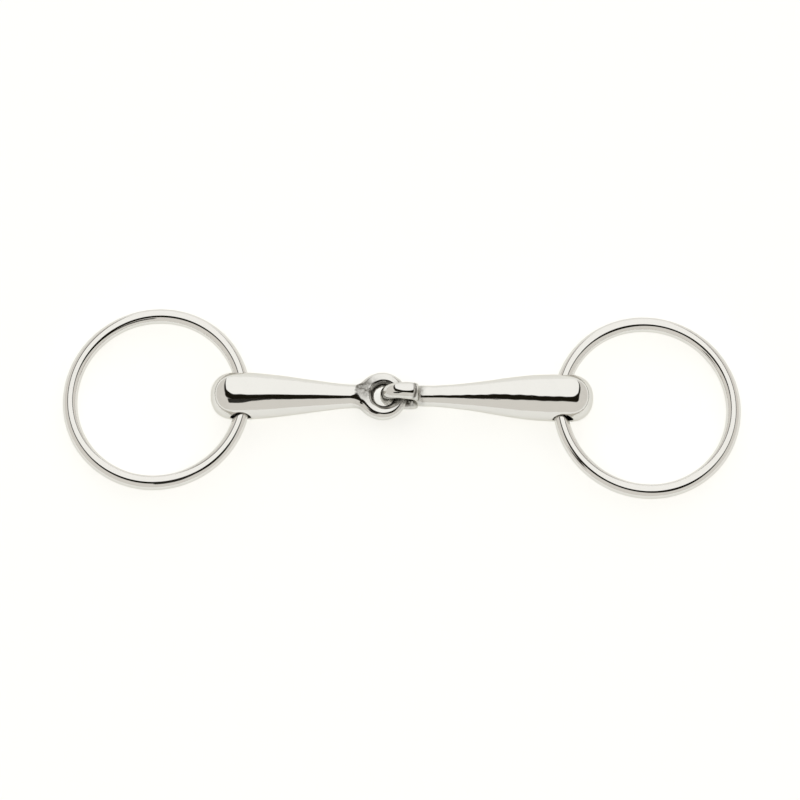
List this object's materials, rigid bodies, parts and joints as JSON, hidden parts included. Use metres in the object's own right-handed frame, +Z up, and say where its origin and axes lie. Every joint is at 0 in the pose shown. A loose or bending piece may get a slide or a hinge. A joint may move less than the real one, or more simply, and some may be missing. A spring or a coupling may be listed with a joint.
{
  "type": "snaffle bit",
  "caption": "Loose-ring snaffle bit: round wire rings run through the ends of a thick, hollow, tapered mouthpiece jointed in the middle by linked eyes.",
  "frame": {"origin": "middle of the bit's box, at the level of the surface it lies on", "axes": "+X along the mouthpiece from the left ring to the right ring, +Z up from the surface it lies on"},
  "size_m": [0.2774, 0.081, 0.0201],
  "materials": {
    "ring_steel": "mirror-polished stainless steel",
    "mouth_steel": "mirror-polished stainless steel"
  },
  "bodies": {
    "left_cannon": {"left_cannon": "mouth_steel"},
    "right_cannon": {"right_cannon": "mouth_steel"},
    "left_ring": {"left_ring": "ring_steel"},
    "right_ring": {"right_ring": "ring_steel"}
  },
  "joints": [
    {"name": "mouth_fold", "type": "hinge", "parent": "left_cannon", "child": "right_cannon", "pos_m": [-0.00043, 0.00214, 0.00907], "axis": [0, -1, 0], "range_deg": [-75, 75]},
    {"name": "left_ring_swing", "type": "hinge", "parent": "left_cannon", "child": "left_ring", "pos_m": [-0.06563, 0.00214, 0.00967], "axis": [0, 1, 0], "range_deg": [-85, 95]},
    {"name": "right_ring_swing", "type": "hinge", "parent": "right_cannon", "child": "right_ring", "pos_m": [0.06576, 0.00123, 0.00967], "axis": [-0.014, -0.9999, 0], "range_deg": [-85, 95]}
  ]
}
